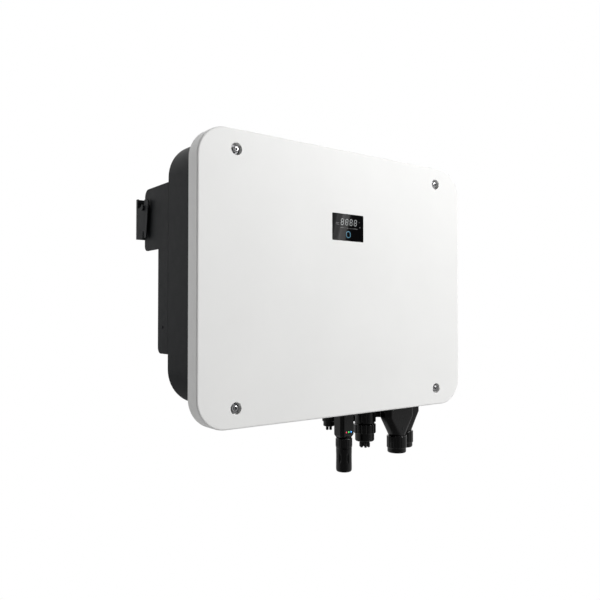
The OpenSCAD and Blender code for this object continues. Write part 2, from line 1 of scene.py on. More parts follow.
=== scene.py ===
# The string inverter's looks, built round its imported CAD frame.
# Metres, Z up, the front faces -Y. Shapes are drawn in millimetres in the
# cover's frame: x and z from the centre of the cover's front face, y back from it.
import json
import math
import random

import bmesh
import bpy
from mathutils import Matrix, Vector


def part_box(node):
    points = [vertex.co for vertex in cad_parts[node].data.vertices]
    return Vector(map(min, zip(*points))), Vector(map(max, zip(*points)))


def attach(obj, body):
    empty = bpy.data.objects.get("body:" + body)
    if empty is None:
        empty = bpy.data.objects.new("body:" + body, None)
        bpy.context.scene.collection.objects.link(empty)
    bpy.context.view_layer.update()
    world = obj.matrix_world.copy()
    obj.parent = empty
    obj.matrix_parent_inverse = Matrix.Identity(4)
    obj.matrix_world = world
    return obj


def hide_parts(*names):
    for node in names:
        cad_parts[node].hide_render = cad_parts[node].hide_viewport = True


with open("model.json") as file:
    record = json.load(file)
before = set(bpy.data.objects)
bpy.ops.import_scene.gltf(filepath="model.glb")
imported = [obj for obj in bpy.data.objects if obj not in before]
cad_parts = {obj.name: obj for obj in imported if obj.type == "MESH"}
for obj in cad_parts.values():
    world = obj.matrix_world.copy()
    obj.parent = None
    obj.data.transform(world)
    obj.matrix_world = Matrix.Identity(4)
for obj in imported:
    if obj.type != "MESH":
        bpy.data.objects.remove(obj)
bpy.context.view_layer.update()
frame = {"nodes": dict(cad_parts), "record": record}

MM = 0.001
cover_low, cover_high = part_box("front_cover")
ORIGIN = Vector(((cover_low.x + cover_high.x) / 2, cover_low.y, (cover_low.z + cover_high.z) / 2))

# ---------------------------------------------- camera
CAMERA_AT = Vector((-784.9, -891.7, -58.3)) * MM + ORIGIN
CAMERA_YAW = math.radians(37.09)
CAMERA_PITCH = math.radians(1.27)
CAMERA_LENS = 38.83

scene = bpy.context.scene
scene.view_settings.view_transform = "Standard"
camera = bpy.data.objects.new("camera", bpy.data.cameras.new("camera"))
scene.collection.objects.link(camera)
scene.camera = camera
camera.data.sensor_width = 36
camera.data.lens = CAMERA_LENS
camera.location = CAMERA_AT
look = Vector((math.sin(CAMERA_YAW) * math.cos(CAMERA_PITCH),
               math.cos(CAMERA_YAW) * math.cos(CAMERA_PITCH), math.sin(CAMERA_PITCH)))
camera.rotation_euler = look.to_track_quat("-Z", "Y").to_euler()


# --------------------------------------- shape toolkit
LEAST_ROUND, NEARLY_STRAIGHT = 0.02, math.radians(172)
SHARP_ANGLE = 35


def span(node):
    """A CAD node's low and high corners in millimetres in the cover's frame."""
    low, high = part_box(node)
    return (low - ORIGIN) / MM, (high - ORIGIN) / MM


def hub(node):
    """A hanging node's centre in x and y, and its bottom and top."""
    low, high = span(node)
    return (low.x + high.x) / 2, (low.y + high.y) / 2, low.z, high.z


def heights(node):
    return hub(node)[2:]


def rounded_rect(w, h, r, cx=0.0, cz=0.0, steps=14):
    """Points round a rectangle with round corners, the same number for any size."""
    points = []
    for sx, sz, start in ((1, 1, 0), (-1, 1, 90), (-1, -1, 180), (1, -1, 270)):
        for i in range(steps + 1):
            a = math.radians(start + 90 * i / steps)
            points.append((cx + sx * (w / 2 - r) + r * math.cos(a), cz + sz * (h / 2 - r) + r * math.sin(a)))
    return points


def circle(r, cx, cz, n, start=0.0):
    """Points round a circle."""
    return [(cx + r * math.cos(start + math.tau * i / n), cz + r * math.sin(start + math.tau * i / n))
            for i in range(n)]


def rounded(profile, radius=0.5, steps=3):
    """A polyline with each of its inner corners made round."""
    out = [profile[0]]
    for before, corner, after in zip(profile, profile[1:], profile[2:]):
        c = Vector(corner)
        a, b = Vector(before) - c, Vector(after) - c
        reach = min(radius, a.length * 0.45, b.length * 0.45)
        if reach < LEAST_ROUND or a.angle(b, math.pi) > NEARLY_STRAIGHT:
            out.append(corner)
            continue
        p, q = c + a.normalized() * reach, c + b.normalized() * reach
        for i in range(steps + 1):
            t = i / steps
            out.append(tuple(p * (1 - t) ** 2 + c * 2 * t * (1 - t) + q * t ** 2))
    out.append(profile[-1])
    return out


class Shape:
    """A mesh being built, in millimetres in the cover's frame."""

    def __init__(self):
        self.bm = bmesh.new()
        self.material = 0

    def ring(self, points):
        return [self.bm.verts.new(p) for p in points]

    def face(self, verts):
        made = self.bm.faces.new(verts)
        made.material_index = self.material
        return made

    def bridge(self, a, b):
        n = len(a)
        for i in range(n):
            self.face((a[i], a[(i + 1) % n], b[(i + 1) % n], b[i]))

    def loft(self, rings, close=False):
        for a, b in zip(rings, rings[1:]):
            self.bridge(a, b)
        if close:
            self.bridge(rings[-1], rings[0])
        return rings

    def solid(self, rings):
        """Join rings in a row and close the two ends."""
        self.loft(rings)
        self.face(rings[0])
        self.face(rings[-1])

    def fill(self, *loops):
        """Close a flat area inside the first loop and outside the others."""
        edges = []
        for loop in loops:
            for a, b in zip(loop, loop[1:] + loop[:1]):
                edges.append(self.bm.edges.get((a, b)) or self.bm.edges.new((a, b)))
        made = bmesh.ops.triangle_fill(self.bm, use_beauty=True, use_dissolve=False, edges=edges)
        for g in made["geom"]:
            if isinstance(g, bmesh.types.BMFace):
                g.material_index = self.material

    def in_y(self, outline, y):
        """A ring of an (x, z) outline at depth y."""
        return self.ring([(x, y, z) for x, z in outline])

    def in_z(self, outline, z):
        """A ring of an (x, y) outline at height z."""
        return self.ring([(x, y, z) for x, y in outline])

    def lathe(self, profile, centre, axis="z", n=64, wave=None, closed=False):
        """Turn (radius, along) points about an axis through centre; wave changes the radius by angle."""
        rings = []
        for r, t in profile:
            ring = []
            for i in range(n):
                a = math.tau * i / n
                rr = wave(a, r, t) if wave else r
                u, v = rr * math.cos(a), rr * math.sin(a)
                place = {"z": (u, v, t), "y": (u, t, v), "x": (t, u, v)}[axis]
                ring.append(Vector(centre) + Vector(place))
            if r < 1e-6:
                ring = [ring[0]]
            rings.append([self.bm.verts.new(p) for p in ring])
        pairs = list(zip(rings, rings[1:]))
        if closed:
            pairs.append((rings[-1], rings[0]))
        for a, b in pairs:
            for i in range(n):
                j = (i + 1) % n
                if len(a) == 1:
                    self.face((a[0], b[j], b[i]))
                elif len(b) == 1:
                    self.face((a[i], a[j], b[0]))
                else:
                    self.face((a[i], a[j], b[j], b[i]))
        if not closed:
            for ring in (rings[0], rings[-1]):
                if len(ring) > 1:
                    self.face(ring)

    def prism(self, outline, a, b, axis="y", edge=0.0, steps=2):
        """Extrude a closed outline from a to b along y or z, its rims rounded by edge."""
        place = {"y": self.in_y, "z": self.in_z}[axis]
        first, last = place(outline, a), place(outline, b)
        self.bridge(first, last)
        rims = [self.face(first), self.face(last)]
        if edge:
            edges = list({e for f in rims for e in f.edges})
            bmesh.ops.bevel(self.bm, geom=edges, offset=edge, segments=steps, profile=0.5,
                            affect="EDGES", clamp_overlap=True, material=-1)

    def block(self, low, high, edge=0.4, steps=2):
        """A box with every edge rounded."""
        low, size = Vector(low), Vector(high) - Vector(low)
        made = bmesh.ops.create_cube(self.bm, size=1)["verts"]
        for v in made:
            v.co = low + Vector([(c + 0.5) * s for c, s in zip(v.co, size)])
        faces = {f for v in made for f in v.link_faces}
        for f in faces:
            f.material_index = self.material
        edges = list({e for v in made for e in v.link_edges})
        if edge:
            edge = min(edge, min(size) * 0.3)
            bmesh.ops.bevel(self.bm, geom=edges, offset=edge, segments=steps, profile=0.5,
                            affect="EDGES", clamp_overlap=True, material=-1)

    def torus(self, centre, big, thickness, start, turn, n, m=14):
        """Part of a ring about the y axis; thickness gives its section's radius at each step."""
        rings = []
        for i in range(n + 1):
            a = start + turn * i / n
            r = thickness(i)
            out = Vector((math.cos(a), 0, math.sin(a)))
            rings.append(self.ring([Vector(centre) + out * (big + u) + Vector((0, v, 0))
                                    for u, v in circle(r, 0, 0, m)]))
        self.solid(rings)

    def tube(self, points, r, n=10):
        """A round wire along points, with flat ends."""
        rings = []
        side = Vector((0, 1, 0.2)).normalized()
        for i, p in enumerate(points):
            ahead = Vector(points[min(i + 1, len(points) - 1)]) - Vector(points[max(i - 1, 0)])
            ahead.normalize()
            side = (side - ahead * side.dot(ahead)).normalized()
            up = ahead.cross(side)
            rings.append(self.ring([Vector(p) + (side * math.cos(a) + up * math.sin(a)) * r
                                    for a in (math.tau * k / n for k in range(n))]))
        self.solid(rings)


body_of_node = {n: b for b, members in frame["record"]["behaviour"]["bodies"].items() for n in members}
slot_of_node = {row["node"]: row["material_slot"] for row in frame["record"]["subparts"]}


def place_piece(name, bm, materials, node, rides=None, smooth=SHARP_ANGLE):
    """Make an object; one that replaces a CAD node takes over the node's body, and the node is hidden."""
    mesh = bpy.data.meshes.new(name)
    bm.to_mesh(mesh)
    bm.free()
    for m in materials if isinstance(materials, (list, tuple)) else [materials]:
        mesh.materials.append(m)
    mesh.polygons.foreach_set("use_smooth", [True] * len(mesh.polygons))
    mesh.set_sharp_from_angle(angle=math.radians(smooth))
    obj = bpy.data.objects.new(name, mesh)
    scene.collection.objects.link(obj)
    obj.modifiers.new("flat_faces_stay_flat", "WEIGHTED_NORMAL").keep_sharp = True
    body, slot = rides or (body_of_node[node], slot_of_node[node])
    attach(obj, body)
    if node:
        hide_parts(node)


def piece(name, shape, materials, node=None, rides=None, smooth=SHARP_ANGLE):
    """Turn a finished shape into an object."""
    bmesh.ops.recalc_face_normals(shape.bm, faces=shape.bm.faces)
    for v in shape.bm.verts:
        v.co = v.co * MM + ORIGIN
    place_piece(name, shape.bm, materials, node, rides, smooth)


MERGE_DISTANCE = 0.00002
FLAT_ANGLE = math.radians(0.6)


def refine(node, materials, edge, zone=None):
    """Replace a CAD node with a copy whose sharp edges are rounded; zone picks a face's material."""
    bm = bmesh.new()
    bm.from_mesh(frame["nodes"][node].data)
    bmesh.ops.remove_doubles(bm, verts=bm.verts, dist=MERGE_DISTANCE)
    bmesh.ops.dissolve_limit(bm, angle_limit=FLAT_ANGLE, verts=bm.verts, edges=bm.edges)
    if edge:
        least = math.radians(SHARP_ANGLE)
        sharp = [e for e in bm.edges if len(e.link_faces) == 2 and e.calc_face_angle(0) > least]
        bmesh.ops.bevel(bm, geom=sharp, offset=edge * MM, segments=2, profile=0.5,
                        affect="EDGES", clamp_overlap=True)
    bmesh.ops.recalc_face_normals(bm, faces=bm.faces)
    if zone:
        for f in bm.faces:
            f.material_index = zone((f.calc_center_median() - ORIGIN) / MM)
    place_piece(node + "_fine", bm, materials, node)


# ------------------------------------------- materials
def add_node(tree, kind, values=None, **links):
    """A shader node with its values set, and the named inputs linked."""
    node = tree.nodes.new("ShaderNode" + kind)
    for key, value in (values or {}).items():
        if key in node.inputs:
            node.inputs[key].default_value = value
        else:
            setattr(node, key, value)
    for key, source in links.items():
        tree.links.new(source, node.inputs[key.replace("_", " ")])
    return node


class Nodes:
    """Short calls for building a node material."""

    def __init__(self, name):
        self.material = bpy.data.materials.new(name)
        self.material.use_nodes = True
        self.tree = self.material.node_tree
        self.shader = self.tree.nodes["Principled BSDF"]
        self.coords = self.tree.nodes.new("ShaderNodeTexCoord").outputs["Object"]

    def add(self, kind, values=None, **links):
        return add_node(self.tree, kind, values, **links)

    def noise(self, scale, detail=4.0):
        return self.add("TexNoise", {"Scale": scale, "Detail": detail, "Roughness": 0.55},
                        Vector=self.coords).outputs["Fac"]

    def ramp(self, source, stops):
        """A colour ramp between two stops."""
        node = self.add("ValToRGB", Fac=source)
        for element, (position, colour) in zip(node.color_ramp.elements, stops):
            element.position = position
            element.color = (*colour, 1)
        return node.outputs["Color"]

    def range(self, source, low, high):
        return self.add("MapRange", {"To Min": low, "To Max": high}, Value=source).outputs["Result"]

    def bump(self, source, height):
        """A bump of that height in millimetres."""
        node = self.add("Bump", {"Strength": 1.0, "Distance": height * MM}, Height=source)
        self.tree.links.new(node.outputs["Normal"], self.shader.inputs["Normal"])

    def set(self, **values):
        """Set the surface's inputs, each to a value or to a node's output."""
        for key, value in values.items():
            socket = self.shader.inputs[key.replace("_", " ")]
            if isinstance(value, bpy.types.NodeSocket):
                self.tree.links.new(value, socket)
            else:
                socket.default_value = value


def shade(colour, factor):
    return tuple(min(1.0, c * factor) for c in colour)


def powder_coat(name, colour, grain, height, roughness, variation, gloss):
    """Painted metal: a fine orange-peel skin, with faint clouding."""
    n = Nodes(name)
    stops = [(0.3, shade(colour, 1 - variation)), (0.7, shade(colour, 1 + variation))]
    n.set(Base_Color=n.ramp(n.noise(9.0, 3.0), stops), Specular_IOR_Level=gloss,
          Roughness=n.range(n.noise(60.0), roughness - 0.05, roughness + 0.05))
    n.bump(n.noise(grain, 2.0), height)
    return n.material


def moulded(name, colour, roughness, grain=1900.0, height=0.03, coat=0.0, gloss=0.5):
    """Moulded plastic with a spark-eroded grain and slight flow marks."""
    n = Nodes(name)
    n.set(Base_Color=n.ramp(n.noise(40.0, 3.0), [(0.3, shade(colour, 0.82)), (0.75, shade(colour, 1.25))]),
          Roughness=n.range(n.noise(140.0), roughness - 0.06, roughness + 0.08),
          Specular_IOR_Level=gloss, Coat_Weight=coat)
    n.bump(n.noise(grain, 2.0), height)
    return n.material


def metal(name, colour, roughness, stretch=(60, 60, 1400), depth=0.012):
    """Machined or drawn metal, with fine marks along one direction."""
    n = Nodes(name)
    mapping = n.add("Mapping", {"Scale": stretch}, Vector=n.coords)
    marks = n.add("TexNoise", {"Scale": 1.0, "Detail": 3.0}, Vector=mapping.outputs["Vector"]).outputs["Fac"]
    n.set(Base_Color=n.ramp(marks, [(0.3, shade(colour, 0.85)), (0.7, shade(colour, 1.1))]), Metallic=1.0,
          Roughness=n.range(marks, roughness - 0.06, roughness + 0.1))
    n.bump(marks, depth)
    return n.material


def tinted_glass(name, colour):
    """Nearly black glass with a coating that takes most of the reflection away."""
    n = Nodes(name)
    n.set(Base_Color=n.ramp(n.noise(30.0), [(0.3, shade(colour, 0.8)), (0.7, shade(colour, 1.2))]),
          Roughness=n.range(n.noise(50.0), 0.02, 0.05), Specular_IOR_Level=0.12)
    return n.material


def rubber(name, colour):
    """Dull soft rubber with a fine speckle."""
    n = Nodes(name)
    n.set(Base_Color=n.ramp(n.noise(90.0), [(0.3, shade(colour, 0.8)), (0.8, shade(colour, 1.5))]),
          Roughness=n.range(n.noise(400.0), 0.68, 0.85))
    n.bump(n.noise(1200.0), 0.05)
    return n.material


def glow(name, colour, strength):
    """A lit diode or segment, brighter in its middle grain."""
    n = Nodes(name)
    lit = n.ramp(n.noise(900.0), [(0.2, shade(colour, 0.85)), (0.8, colour)])
    n.set(Base_Color=lit, Emission_Color=lit, Emission_Strength=strength, Roughness=0.3)
    return n.material


def circuit_board(name):
    """Green solder mask over tracks, with rows of tinned pads."""
    n = Nodes(name)
    flat = n.add("Mapping", {"Rotation": (math.pi / 2, 0, 0)}, Vector=n.coords).outputs["Vector"]
    tracks = n.add("TexBrick", {"Scale": 55.0, "Mortar Size": 0.012, "Mortar Smooth": 0.2,
                                "Brick Width": 0.55, "Row Height": 0.22, "offset": 0.37, "squash": 1.6,
                                "Color1": (0.006, 0.075, 0.030, 1), "Color2": (0.010, 0.10, 0.040, 1),
                                "Mortar": (0.030, 0.19, 0.075, 1)}, Vector=flat)
    pads = n.add("TexVoronoi", {"Scale": 190.0, "Randomness": 0.55}, Vector=flat).outputs["Distance"]
    spot = n.ramp(pads, [(0.13, (1, 1, 1)), (0.17, (0, 0, 0))])
    mix = n.add("Mix", {"data_type": "RGBA"})
    n.tree.links.new(spot, mix.inputs[0])
    n.tree.links.new(tracks.outputs["Color"], mix.inputs[6])
    mix.inputs[7].default_value = (0.55, 0.52, 0.42, 1)
    n.set(Base_Color=mix.outputs[2], Roughness=n.range(n.noise(200.0), 0.25, 0.42))
    n.bump(tracks.outputs["Fac"], 0.05)
    return n.material


WHITE = powder_coat("cover_paint", (0.80, 0.80, 0.79), 1500.0, 0.022, 0.5, 0.012, 0.3)
DARK = powder_coat("body_paint", (0.0135, 0.0148, 0.0165), 1100.0, 0.06, 0.55, 0.10, 0.08)
BLACK = moulded("black_plastic", (0.0020, 0.0020, 0.0021), 0.24, height=0.012, gloss=0.42)
GREY = moulded("grey_plastic", (0.075, 0.076, 0.080), 0.5)
STEEL = metal("stainless", (0.52, 0.52, 0.53), 0.30)
ZINC = metal("sheet_steel", (0.50, 0.51, 0.53), 0.36, (900, 40, 40))
SINK = metal("sink_metal", (0.16, 0.165, 0.17), 0.45, (40, 40, 900), 0.02)
RUBBER = rubber("seal_rubber", (0.010, 0.010, 0.011))
BOARD = circuit_board("circuit_board")
GLASS = tinted_glass("window_glass", (0.0012, 0.0012, 0.0015))
SLEEVE = moulded("capacitor_sleeve", (0.012, 0.018, 0.055), 0.28, 600.0, 0.01, 0.3)
FILM = moulded("film_case", (0.52, 0.46, 0.30), 0.4)
COPPER = metal("winding", (0.50, 0.21, 0.085), 0.30, (120, 120, 120), 0.01)
CORE = moulded("choke_core", (0.045, 0.060, 0.050), 0.55, 900.0, 0.08)
RELAY = moulded("relay_case", (0.018, 0.045, 0.13), 0.35)
TERMINAL = moulded("terminal_case", (0.030, 0.17, 0.070), 0.42)
MODULE = moulded("module_case", (0.60, 0.58, 0.50), 0.55)
PAD = rubber("thermal_pad", (0.30, 0.35, 0.46))
RED_SHEATH = rubber("lead_sheath", (0.28, 0.018, 0.012))
WASHER = metal("washer_steel", (0.30, 0.30, 0.31), 0.5)
TIN = metal("tinned", (0.66, 0.66, 0.64), 0.25, (300, 300, 300), 0.01)

# lights of the display and of the stick
DIGIT = glow("digit_light", (0.20, 0.21, 0.21), 0.75)
FAINT = glow("icon_light", (0.09, 0.09, 0.09), 0.4)
TEAL = glow("touch_light", (0.015, 0.12, 0.19), 0.5)
LIGHTS = [glow("red_light", (0.60, 0.02, 0.06), 0.9), glow("green_light", (0.05, 0.75, 0.12), 1.0),
          glow("blue_light", (0.06, 0.38, 0.90), 1.2)]


# ----------------------------------------- front cover
COVER_W, COVER_H, COVER_T, COVER_R = 620.0, 485.0, 30.0, 52.0
SKIN, FRONT_ROUND = 2.5, 3.2
SCREW_X, SCREW_Z = 239.0, 209.3
SCREWS = [(x, z) for x in (-SCREW_X, SCREW_X) for z in (-SCREW_Z, SCREW_Z)]
WINDOW_W, WINDOW_H, WINDOW_Z = 75.7, 49.5, 100.8
OPENING_W, OPENING_H = 568.0, 372.0


def gasket_path(grow, y, s):
    """A ring on the gasket's line: the edge of the rib in the cover and of the groove in the flange."""
    return s.in_y(rounded_rect(OPENING_W + 8 + 2 * grow, OPENING_H + 8 + 2 * grow, 30 + grow), y)


def build_cover():
    s = Shape()

    def outline(inset, y):
        return s.in_y(rounded_rect(COVER_W - 2 * inset, COVER_H - 2 * inset, COVER_R - inset, steps=20), y)

    def front(t):
        return outline(FRONT_ROUND * (1 - math.sin(t)), FRONT_ROUND * (1 - math.cos(t)))

    quarter = math.pi / 2
    rings = [outline(FRONT_ROUND + 0.4, 0.0)] + [front(quarter * i / 8) for i in range(9)]
    rings += [outline(0, COVER_T - 0.7), outline(0.2, COVER_T - 0.2), outline(0.7, COVER_T)]
    rings += [outline(SKIN - 0.4, COVER_T), outline(SKIN, COVER_T - 0.4), outline(SKIN, SKIN + 1.5),
              outline(SKIN + 1.5, SKIN)]
    s.loft(rings)
    front_loops, back_loops = [rings[0]], [rings[-1]]
    for x, z in SCREWS:
        steps = [(10.9, 0), (10.35, 0.15), (10.05, 0.6), (10, 7.5), (3.4, 7.5), (3.4, 18), (12.5, 18),
                 (12.5, SKIN)]
        hole = s.loft([s.in_y(circle(r, x, z, 48), y) for r, y in steps])
        front_loops.append(hole[0])
        back_loops.append(hole[-1])
    steps = [(0.5, 0), (0.12, 0.12), (0, 0.5), (0, 1.6), (-7, 1.6), (-7, SKIN)]
    window = s.loft([s.in_y(rounded_rect(WINDOW_W + g, WINDOW_H + g, 2 + g * 0.1, 0, WINDOW_Z, 6), y)
                     for g, y in steps])
    front_loops.append(window[0])
    back_loops.append(window[-1])
    s.fill(*front_loops)
    s.fill(*back_loops)
    # rib that presses on the gasket
    s.loft([gasket_path(g, y, s) for g, y in ((0, SKIN - 0.3), (0, 16), (5, 16), (5, SKIN - 0.3))],
           close=True)
    piece("front_cover_shell", s, WHITE, "front_cover", smooth=25)


def build_window():
    s = Shape()
    steps = [(-0.7, 0.1), (-0.2, 0.18), (0, 0.4), (0, 1.6)]
    rings = s.loft([s.in_y(rounded_rect(WINDOW_W - 0.2 + g, WINDOW_H - 0.2 + g, 1.9, 0, WINDOW_Z, 6), y)
                    for g, y in steps])
    s.fill(rings[0])
    s.fill(rings[-1])
    piece("display_glass", s, GLASS, "display_window")


# the display's four digits, each with all its seven bars lit; the lights lie just in front of the glass
DIGIT_H, DIGIT_W, DIGIT_PITCH, SEGMENT, DIGIT_LEAN = 10.6, 5.6, 10.6, 1.15, 0.08
LIT_Y, LIT_BACK = 0.085, 0.185


def segment(s, cx, cz, length, upright):
    """One bar of a digit: a flat hexagon."""
    half, t = length / 2, SEGMENT / 2
    outline = [(-half, 0), (-half + t, t), (half - t, t), (half, 0), (half - t, -t), (-half + t, -t)]
    if upright:
        outline = [(-v, u) for u, v in outline]
    s.prism([(cx + u + DIGIT_LEAN * (cz - WINDOW_Z + v), cz + v) for u, v in outline], LIT_Y, LIT_BACK)


def build_display():
    s = Shape()
    middle = WINDOW_Z + 9.8
    for i in range(4):
        cx = (i - 1.5) * DIGIT_PITCH + 1.3
        for row in (-1, 0, 1):
            segment(s, cx, middle + row * DIGIT_H / 2, DIGIT_W - 0.6, False)
        for side in (-1, 1):
            for row in (-1, 1):
                segment(s, cx + side * DIGIT_W / 2, middle + row * DIGIT_H / 4, DIGIT_H / 2 - 0.6, True)
    s.material = 1
    for width in (42, 24):
        s.prism(rounded_rect(width, width / 50, 0.2, 2.0, WINDOW_Z - 1.3, 3), LIT_Y, LIT_BACK)
    # side marks: two short bars on the left, a bar and a dot on the right
    for x, z, w, h in ((-25.5, -2.4, 8, 0.7), (-25.5, -5.2, 8, 0.7), (27.5, 1.5, 2.5, 0.7)):
        s.prism(rounded_rect(w, h, 0.3, x, middle + z, 3), LIT_Y, LIT_BACK)
    s.prism(circle(1.1, 29, middle - 7.5, 20), LIT_Y, LIT_BACK)
    piece("display_lights", s, [DIGIT, FAINT], rides=("cover", "window_glass"))
    s = Shape()
    s.loft([s.in_y(rounded_rect(11.0 - 2 * g, 12.6 - 2 * g, 5.0 - g, 0.6, WINDOW_Z - 12.8, 8), y)
            for g, y in ((0, LIT_BACK), (0, LIT_Y), (1.5, LIT_Y), (1.5, LIT_BACK))], close=True)
    piece("touch_ring", s, TEAL, rides=("cover", "window_glass"))


def build_cover_screws():
    s = Shape()
    for x, z in SCREWS:
        # head with a rounded crown round a hexagon socket
        sides = 48
        head = [(5.25, 6.0), (5.25, 2.7), (5.05, 2.0), (4.4, 1.35), (3.4, 1.0)]
        rings = s.loft([s.in_y(circle(r, x, z, sides), y) for r, y in rounded(head, 0.3)])
        hexes = []
        for size, y in ((2.95, 1.0), (2.6, 1.35), (2.6, 4.2)):
            points = []
            corners = circle(size, 0, 0, 6, 0.3)
            for i in range(sides):
                u = i * 6 / sides
                a, b = corners[int(u) % 6], corners[(int(u) + 1) % 6]
                t = u - int(u)
                points.append((x + a[0] * (1 - t) + b[0] * t, z + a[1] * (1 - t) + b[1] * t))
            hexes.append(s.in_y(points, y))
        s.loft(hexes)
        s.fill(rings[-1], hexes[0])
        s.fill(hexes[-1])
        s.fill(rings[0])
        thread = [(2.95 - (0.28 if i % 2 else 0.0), 8 + i * 0.5) for i in range(40)]
        s.lathe([(2.95, 5.9)] + thread + [(2.2, 28.0)], (x, 0, z), "y", 24)
    piece("cover_screw_set", s, STEEL, "cover_screws", smooth=40)
    s = Shape()
    for x, z in SCREWS:
        profile = [(3.2, 6.0), (5.6, 6.0), (8.0, 6.25), (8.6, 6.6), (8.6, 7.5), (3.2, 7.5)]
        s.lathe(profile, (x, 0, z), "y", 48, closed=True)
    piece("cover_washer_set", s, WASHER, "cover_washers")


# --------------------------------------------- housing
BODY_W, BODY_TOP, BODY_BOTTOM, BODY_BACK, BODY_R = 600.0, 238.0, -213.0, 123.0, 62.0
WALL, FLANGE_Y, BACK_ROUND, SCREW_HOLE_END = 4.0, 18.0, 0.8, 37.9
SINK_OPENING = (-245.0, -70.0, 245.0, 150.0)
LEDGE_LOW, LEDGE_HIGH, LEDGE_Z = (-236.0, 36.0), (272.0, 114.0), -216.0


def build_housing():
    s = Shape()
    mid, height = (BODY_TOP + BODY_BOTTOM) / 2, BODY_TOP - BODY_BOTTOM

    def flange(inset, y):
        g = inset + 3.5
        return s.in_y(rounded_rect(COVER_W - 2 * g, COVER_H - 2 * g, COVER_R - g), y)

    def wall(inset, y):
        return s.in_y(rounded_rect(BODY_W - 2 * inset, height - 2 * inset, BODY_R - inset, 0, mid), y)

    def opening(grow, y):
        return s.in_y(rounded_rect(OPENING_W + 2 * grow, OPENING_H + 2 * grow, 26 + grow), y)

    outer = [flange(0.6, FLANGE_Y), flange(0.15, FLANGE_Y + 0.15), flange(0, FLANGE_Y + 0.6),
             flange(0, COVER_T - 0.6), flange(0.6, COVER_T), wall(-1.2, COVER_T), wall(-0.3, COVER_T + 0.35),
             wall(0, COVER_T + 1.2), wall(0, BODY_BACK - BACK_ROUND)]
    outer += [wall(BACK_ROUND * (1 - math.cos(t)), BODY_BACK - BACK_ROUND * (1 - math.sin(t)))
              for t in (math.pi / 2 * i / 5 for i in range(1, 6))]
    inner = [opening(0.5, FLANGE_Y), opening(0, FLANGE_Y + 0.5), opening(0, COVER_T), wall(WALL, COVER_T),
             wall(WALL, BODY_BACK - WALL - 3), wall(WALL + 3, BODY_BACK - WALL)]
    s.loft(outer)
    s.loft(inner)
    groove = s.loft([gasket_path(g, y, s) for g, y in
                     ((5, FLANGE_Y), (5, FLANGE_Y + 2), (0, FLANGE_Y + 2), (0, FLANGE_Y))])
    holes = []
    steps = ((3.6, FLANGE_Y), (3, FLANGE_Y + 0.6), (3, SCREW_HOLE_END))
    for x, z in SCREWS:
        hole = s.loft([s.in_y(circle(r, x, z, 32), y) for r, y in steps])
        s.fill(hole[-1])
        holes.append(hole[0])
    s.fill(outer[0], groove[0], *holes)
    s.fill(groove[-1], inner[0])
    x0, z0, x1, z1 = SINK_OPENING
    pad = s.loft([s.in_y(rounded_rect(x1 - x0, z1 - z0, 6, (x0 + x1) / 2, (z0 + z1) / 2, 4), y)
                  for y in (BODY_BACK, BODY_BACK - WALL)])
    s.fill(outer[-1], pad[0])
    s.fill(inner[-1], pad[1])
    # bosses behind the flange, and the flat ledge that carries the connectors
    boss = rounded([(7.6, COVER_T - 1), (7, 38), (3.2, 38), (3.2, COVER_T - 1)], 0.8, 4)
    for x, z in SCREWS:
        s.lathe(boss, (x, 0, z), "y", 32, closed=True)
    x0, y0, x1, y1 = LEDGE_LOW + LEDGE_HIGH
    outline = rounded_rect(x1 - x0, y1 - y0, 8, (x0 + x1) / 2, (y0 + y1) / 2, 6)
    s.prism(outline, LEDGE_Z, BODY_BOTTOM + 3, "z", edge=1.0, steps=3)
    # stiffening ribs on the back, below and above the heat sink
    for low, high in ((-196, -134), (178, 222)):
        for x in range(-210, 211, 60):
            s.block((x - 1.5, BODY_BACK - 1, low), (x + 1.5, BODY_BACK + 3, high), 0.8)
    piece("housing_shell", s, DARK, "housing", smooth=28)


# ------------------------------------------ connectors
def knurl(count, depth, low, high, least=9.0):
    """Ribs round a nut between two heights, on its outside only: ridges with narrow grooves."""
    def wave(a, r, t):
        if not low <= t <= high or r < least:
            return r
        return r - depth * max(0.0, math.cos(a * count)) ** 6
    return wave


STICK_W, STICK_D, STICK_CORNER = 34.3, 28.9, 5.5


